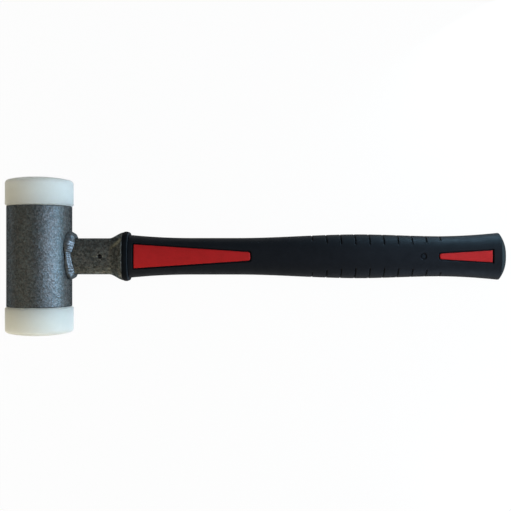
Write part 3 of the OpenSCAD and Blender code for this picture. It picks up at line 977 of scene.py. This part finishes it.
def scuff(made, place, start, end, half):
    """How far paint is rubbed off on the near side, along a line between two places (x, y)."""
    x, y, z = split(made, place)
    slope = (end[1] - start[1]) / (end[0] - start[0])
    line = math_node(made, "MULTIPLY_ADD", x, slope, start[1] - slope * start[0])
    away = math_node(made, "ABSOLUTE", math_node(made, "SUBTRACT", y, line))
    rubbed = spread(made, away, (0, half), (1, 0))
    for source, limits, shares in (
        (x, (start[0] - half, start[0] + half), (0, 1)),
        (x, (end[0] - half, end[0] + half), (1, 0)),
        (z, (0, half), (0, 1)),
    ):
        rubbed = math_node(made, "MULTIPLY", rubbed, spread(made, source, limits, shares))
    return rubbed


# Tints of the bluer and the redder flecks of the paint
REDDER = (1.06, 0.98, 0.97)
NEUTRAL = (1, 1, 1)
BLUER = (0.94, 1.01, 1.06)


def hammertone(name, dark, light, edge, scuffed=None, dimpled=0.5):
    """Hammertone paint: metal flecks in small dimples, rubbed along its edges, with painted shade
    in narrow gaps.
    """
    made, shader = material(
        name, Metallic=0.85, Specular_IOR_Level=0.25, Specular_Tint=(0.16, 0.19, 0.2, 1),
    )
    place = coordinates(made)
    cells = texture(made, "Voronoi", place, feature="F1", Scale=720, Randomness=1)
    grain = texture(made, "Noise", place, Scale=950, Detail=3, Roughness=0.65)["Fac"]
    fleck = add(made, "ShaderNodeSeparateColor")
    link(made, cells["Color"], fleck.inputs["Color"])
    mix = math_node(made, "MULTIPLY_ADD", fleck.outputs["Red"], 0.35, grain)
    middle = tuple(0.6 * d + 0.4 * l for d, l in zip(dark, light))
    tone = ramp(made, mix, [(0.4, dark), (0.65, middle), (0.95, light)])
    hue = ramp(made, fleck.outputs["Green"], [(0, REDDER), (0.5, NEUTRAL), (1, BLUER)])
    colour = tinted(made, "MULTIPLY", 1.0, tone, hue)
    worn = edge_wear_and_shade(made, place, sharpness=(0.52, 0.6), scale=400)
    if scuffed:
        flakes = spread(made, mix, (0.35, 0.7), (0, 1))
        flaked = math_node(made, "MULTIPLY", scuff(made, place, **scuffed), flakes)
        worn = math_node(made, "MAXIMUM", worn, flaked)
    colour = tinted(made, "MIX", worn, colour, edge)
    # Painted shade: the base colour is darkened in narrow gaps
    link(made, painted_crevice_shade(made, colour, 1.2 * MM), shader.inputs["Base Color"])
    link(made, spread(made, grain, (0.3, 0.7), (0.43, 0.36)), shader.inputs["Roughness"])
    dimples = math_node(made, "MULTIPLY_ADD", cells["Distance"], 0.6, grain)
    bump(made, shader, dimples, distance=0.35 * MM, strength=dimpled)
    return made


def nylon():
    """Milky nylon with faint turning marks, and painted shade darkening its edges in patches."""
    made, shader = material(
        "nylon", Subsurface_Weight=1.0, Subsurface_Scale=0.03, Subsurface_Radius=(1, 1, 1),
        Specular_IOR_Level=0.12,
    )
    place = coordinates(made)
    cloud = texture(made, "Noise", place, Scale=70, Detail=4, Roughness=0.55)["Fac"]
    rings = texture(
        made, "Wave", place, bands_direction="Y", Scale=420, Distortion=1.5, Detail=2,
    )["Fac"]
    colour = ramp(made, cloud, [(0.3, (0.72, 0.73, 0.67)), (0.7, (0.77, 0.78, 0.72))])
    # Painted shade: the nylon's outer edges are darkened in patches
    edges = edge_wear_and_shade(made, place, sharpness=(0.5, 0.56), scale=150)
    painted_edge_shade = math_node(made, "MULTIPLY", edges, 0.4)
    colour = tinted(made, "MIX", painted_edge_shade, colour, (0.5, 0.5, 0.46))
    link(made, colour, shader.inputs["Base Color"])
    link(made, spread(made, cloud, (0.3, 0.7), (0.4, 0.5)), shader.inputs["Roughness"])
    bump(made, shader, rings, distance=0.03 * MM, strength=0.25)
    return made


# Scale and height of the fine grain of moulded pieces
RUBBER_GRAIN = (2600, 0.06 * MM)
PLASTIC_GRAIN = (1800, 0.04 * MM)


def moulded(name, dark, light, rubbed, roughness, gloss, tint, grain, painted_highlight_x=None):
    """A moulded rubber or plastic: slight mottling, a fine grain, edges rubbed in patches, and
    painted shade in narrow gaps.
    With the place of a highlight given, its rubbed colour is also laid all along an edge from that
    place onwards, as a painted highlight."""
    made, shader = material(name, Specular_Tint=(*tint, 1))
    facing = add(made, "ShaderNodeLayerWeight").outputs["Facing"]
    level = spread(made, facing, (0.45, 0.9), (gloss, 0.1 * gloss))
    link(made, level, shader.inputs["Specular IOR Level"])
    place = coordinates(made)
    grain_scale, grain_height = grain
    tone = texture(made, "Noise", place, Scale=140, Detail=4, Roughness=0.6)["Fac"]
    fine = texture(made, "Noise", place, Scale=grain_scale, Detail=2, Roughness=0.5)["Fac"]
    colour = ramp(made, tone, [(0.3, dark), (0.7, light)])
    worn = edge_wear_and_shade(made, place, sharpness=(0.52, 0.6), scale=250)
    # Painted highlight: the rubbed colour laid all along an edge stands in for light falling on
    # that edge
    if painted_highlight_x:
        past = (painted_highlight_x - 0.2 * MM, painted_highlight_x + 0.2 * MM)
        along = spread(made, split(made, place)["X"], past, (0, 1))
        worn = math_node(made, "MAXIMUM", worn, along)
    colour = tinted(made, "MIX", worn, colour, rubbed)
    # Painted shade: the base colour is darkened in narrow gaps
    link(made, painted_crevice_shade(made, colour, 0.8 * MM), shader.inputs["Base Color"])
    shine = spread(made, tone, (0.3, 0.7), (roughness + 0.06, roughness - 0.06))
    link(made, shine, shader.inputs["Roughness"])
    bump(made, shader, fine, distance=grain_height, strength=0.35)
    return made


def steel(name, dark, light, roughness):
    """Turned steel with fine tool marks, over a range of roughness."""
    made, shader = material(name, Metallic=1.0)
    place = coordinates(made)
    marks = texture(
        made, "Wave", place,
        wave_type="RINGS", rings_direction="Y", Scale=500, Distortion=1, Detail=2,
    )["Fac"]
    tone = texture(made, "Noise", place, Scale=200, Detail=4)["Fac"]
    link(made, ramp(made, tone, [(0.3, dark), (0.7, light)]), shader.inputs["Base Color"])
    link(made, spread(made, tone, (0.3, 0.7), roughness), shader.inputs["Roughness"])
    bump(made, shader, marks, distance=0.02 * MM, strength=0.3)
    return made


def fibreglass():
    """Moulded fibreglass with strands along the handle."""
    made, shader = material("fibreglass", Roughness=0.45)
    drawn_out = add(made, "ShaderNodeMapping", Scale=(60, 900, 900))
    link(made, coordinates(made), drawn_out.inputs["Vector"])
    place = drawn_out.outputs["Vector"]
    strands = texture(made, "Noise", place, Scale=1, Detail=4, Roughness=0.6)["Fac"]
    colour = ramp(made, strands, [(0.3, (0.48, 0.37, 0.15)), (0.7, (0.62, 0.52, 0.26))])
    link(made, colour, shader.inputs["Base Color"])
    bump(made, shader, strands, distance=0.05 * MM, strength=0.4)
    return made


MATERIALS = {
    "hammertone_paint": hammertone(
        "hammertone_paint",
        dark=(0.062, 0.067, 0.068), light=(0.15, 0.166, 0.173), edge=(0.24, 0.23, 0.19),
    ),
    # Painted highlight: the weld's copy of the head paint has lighter tones for the light on its
    # lumps; its dimples are also shallower
    "weld_paint": hammertone(
        "weld_paint",
        dark=(0.1, 0.113, 0.123), light=(0.175, 0.197, 0.213), edge=(0.22, 0.235, 0.24),
        dimpled=0.18,
    ),
    "nylon": nylon(),
    "grip_rubber": moulded(
        "grip_rubber",
        dark=(0.005, 0.0053, 0.0066), light=(0.0068, 0.0073, 0.009), rubbed=(0.016, 0.019, 0.023),
        roughness=0.6, gloss=0.14, tint=(0.68, 0.78, 0.95), grain=RUBBER_GRAIN,
    ),
    "red_plastic": moulded(
        "red_plastic",
        dark=(0.38, 0.009, 0.0095), light=(0.455, 0.0106, 0.0122), rubbed=(0.5, 0.03, 0.03),
        roughness=0.5, gloss=0.16, tint=(1.0, 1.0, 1.0), grain=PLASTIC_GRAIN,
    ),
    "black_plastic": moulded(
        "black_plastic",
        dark=(0.0065, 0.0085, 0.0115), light=(0.009, 0.0115, 0.0155), rubbed=(0.014, 0.017, 0.021),
        roughness=0.65, gloss=0.12, tint=(0.6, 0.8, 1.0), grain=PLASTIC_GRAIN,
    ),
    "bare_steel": steel(
        "bare_steel", dark=(0.36, 0.36, 0.37), light=(0.48, 0.48, 0.49), roughness=(0.28, 0.42),
    ),
    "fibreglass": fibreglass(),
}

# Finishes of pieces that differ a little from the others of their slot. The socket's darker paint
# tones are painted shade, and the collar's rubber has a painted highlight along its rear edge
# Painted shade: the socket's copy of the head paint has darker tones for its shaded look; its
# scuffs are real wear
SOCKET_PAINT = hammertone(
    "socket_paint",
    dark=(0.037, 0.04, 0.039), light=(0.165, 0.174, 0.17), edge=(0.4, 0.38, 0.28),
    scuffed={"start": (56.2 * MM, 7.0 * MM), "end": (62.6 * MM, 12 * MM), "half": 2.4 * MM},
)
COLLAR_RUBBER = moulded(
    "collar_rubber",
    dark=(0.0038, 0.0046, 0.0056), light=(0.0055, 0.0064, 0.0078), rubbed=(0.02, 0.024, 0.028),
    roughness=0.65, gloss=0.06, tint=(0.65, 0.8, 0.95), grain=RUBBER_GRAIN,
    # Painted highlight along the collar's lit rear edge, in its rubbed colour
    painted_highlight_x=GRIP_X - 0.45 * MM,
)
OXIDE_STEEL = steel(
    "oxide_steel", dark=(0.02, 0.02, 0.021), light=(0.05, 0.05, 0.052), roughness=(0.5, 0.65),
)


# Assembly: each piece gets its material, rides its body and stands for its CAD node

def paint(piece, made):
    piece.data.materials.clear()
    piece.data.materials.append(made)


def dress(piece, slot, body, node, made=None):
    paint(piece, made or MATERIALS[slot])
    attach(piece, body)
    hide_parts(node)


dress(build_housing(), "hammertone_paint", "hammer", "head_housing")
dress(build_face("upper_nylon", 1), "nylon", "upper_face", "upper_face")
dress(build_face("lower_nylon", -1), "nylon", "lower_face", "lower_face")
dress(build_socket(), "hammertone_paint", "hammer", "handle_socket", SOCKET_PAINT)
dress(build_weld(), "weld_paint", "hammer", "weld_bead")
dress(build_socket_pin(), "bare_steel", "hammer", "socket_pin", OXIDE_STEEL)
dress(build_collar(), "grip_rubber", "hammer", "grip_collar", COLLAR_RUBBER)
dress(build_grip(), "grip_rubber", "hammer", "grip_sleeve")
dress(build_grip_pin(), "black_plastic", "hammer", "grip_pin")
for end, wedge in (("front", FRONT_WEDGE), ("rear", REAR_WEDGE)):
    for where, side in (("near", 1), ("far", -1)):
        inlay = build_inlay(f"{end}_wedge_{where}", wedge, side)
        dress(inlay, "red_plastic", "hammer", f"{end}_inlay_{where}")

# The pieces inside keep their CAD solids
for node, slot in (
    ("upper_chamber_disc", "bare_steel"),
    ("lower_chamber_disc", "bare_steel"),
    ("steel_shot", "bare_steel"),
    ("handle_core", "fibreglass"),
):
    paint(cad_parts[node], MATERIALS[slot])


# Stage: the hammer lies on its two faces and the underside of the pommel

FLOOR_GAP = 0.1 * MM
FLOOR_REACH = 12
FLOOR_GREY = 0.82
FLOOR_SEEN_WHITE = 0.96
# Light of the room: warm from lamps, and cooler on the side that the daylight comes from
ROOM_STRENGTH = 0.29
LAMPLIT = (1.0, 0.89, 0.68)
EVEN = (0.93, 0.88, 0.76)
DAYLIT = (0.62, 0.77, 0.88)
DAYLIGHT_SIDE = (0.9, 0.44, 0)
# Colours of the softboxes
COOL = (0.7, 0.83, 1.0)
WARM = (1.0, 0.9, 0.66)
PLAIN = (0.88, 0.95, 1.0)
SKY = (0.5, 0.83, 1.0)
LOW_SKY = (0.56, 0.78, 1.0)
TEAL = (0.1, 0.85, 1.0)


def seen_white(made, shade, strength):
    """Mixes white into what the camera, reflections and clear pieces see of a surface."""
    path = add(made, "ShaderNodeLightPath").outputs
    seen = math_node(made, "MAXIMUM", path["Is Camera Ray"], path["Is Glossy Ray"])
    seen = math_node(made, "MAXIMUM", seen, path["Is Transmission Ray"])
    white = add(made, "ShaderNodeEmission", Strength=1.0)
    mix = add(made, "ShaderNodeMixShader")
    link(made, math_node(made, "MULTIPLY", seen, strength), mix.inputs["Fac"])
    link(made, shade, mix.inputs[1])
    link(made, white.outputs[0], mix.inputs[2])
    return mix.outputs[0]


def build_floor():
    touch_z = -FACE_R - FLOOR_GAP
    slope = (FACE_R - POMMEL_W * GRIP_FLATNESS) / POMMEL_X
    reach = FLOOR_REACH
    plan = ((-reach, -reach), (reach, -reach), (reach, reach), (-reach, reach))
    corners = [(x, y, touch_z + slope * x) for x, y in plan]
    floor = mesh_object("floor", corners, [(0, 1, 2, 3)])
    made, shader = material(
        "floor_white", Base_Color=(FLOOR_GREY, FLOOR_GREY, FLOOR_GREY, 1), Roughness=0.9,
        Specular_IOR_Level=0.0,
    )
    surface = made.node_tree.nodes["Material Output"].inputs["Surface"]
    link(made, seen_white(made, shader.outputs["BSDF"], FLOOR_SEEN_WHITE), surface)
    floor.data.materials.append(made)


def build_world():
    world = bpy.data.worlds.new("studio")
    world.use_nodes = True
    bpy.context.scene.world = world
    background = world.node_tree.nodes["Background"]
    background.inputs["Strength"].default_value = ROOM_STRENGTH
    side = add(world, "ShaderNodeVectorMath", operation="DOT_PRODUCT")
    link(world, add(world, "ShaderNodeTexCoord").outputs["Generated"], side.inputs[0])
    side.inputs[1].default_value = DAYLIGHT_SIDE
    toward_daylight = spread(world, side.outputs["Value"], (-1, 1), (0, 1))
    room = ramp(world, toward_daylight, [(0, LAMPLIT), (0.5, EVEN), (1, DAYLIT)])
    link(world, room, background.inputs["Color"])


def softbox(name, place, target, size, power, colour):
    lamp = bpy.data.lights.new(name, "AREA")
    lamp.shape = "RECTANGLE"
    lamp.size, lamp.size_y = size
    lamp.energy = power
    lamp.color = colour
    obj = bpy.data.objects.new(name, lamp)
    bpy.context.scene.collection.objects.link(obj)
    obj.location = place
    obj.rotation_euler = (Vector(target) - Vector(place)).to_track_quat("-Z", "Y").to_euler()


# Camera: straight above the handle, as far away as the photograph's perspective shows
PIXELS = 511
MM_PER_PIXEL = 0.7525
VIEW_HEIGHT = 590 * MM
HEAD_AXIS_PIXEL = 39.6
HANDLE_AXIS_PIXEL = 256.3
SENSOR = 36


def build_camera():
    lens = bpy.data.cameras.new("camera")
    lens.sensor_width = SENSOR
    lens.lens = SENSOR * VIEW_HEIGHT / (PIXELS * MM_PER_PIXEL * MM)
    camera = bpy.data.objects.new("camera", lens)
    bpy.context.scene.collection.objects.link(camera)
    middle = PIXELS / 2
    camera.location = (
        (middle - HEAD_AXIS_PIXEL) * MM_PER_PIXEL * MM,
        (HANDLE_AXIS_PIXEL - middle) * MM_PER_PIXEL * MM,
        VIEW_HEIGHT,
    )
    bpy.context.scene.camera = camera


build_floor()
build_world()
build_camera()

# Softboxes: name, place, target, width and height, power and colour
softbox("window", (0.88, 0, 0.7), (0.05, 0, 0), (0.5, 0.75), 5.6, COOL)
softbox("window_sill", (0.95, -0.03, 0.2), (0, 0, 0), (0.4, 0.3), 3.4, LOW_SKY)
softbox("end_glow", (0.4, 0.22, 0.035), (0.52, 0, 0), (0.2, 0.07), 1.25, SKY)
softbox("end_rim", (0.43, 0.01, 0.012), (0.345, 0, 0), (0.22, 0.03), 0.085, TEAL)
softbox("ceiling", (0.35, 0, 1.0), (0, 0, 0), (0.4, 0.4), 0.35, PLAIN)
softbox("lower_left", (-0.45, -0.8, 0.26), (0, 0, 0), (0.9, 0.6), 3.8, WARM)
softbox("lower_fill", (0.42, -0.25, 0.06), (0.52, 0, 0), (0.25, 0.1), 0.45, COOL)
softbox("left_fill", (-0.5, -0.05, 0.9), (0.05, 0, 0), (0.6, 0.6), 0.4, WARM)
bpy.context.scene.view_settings.view_transform = "Standard"
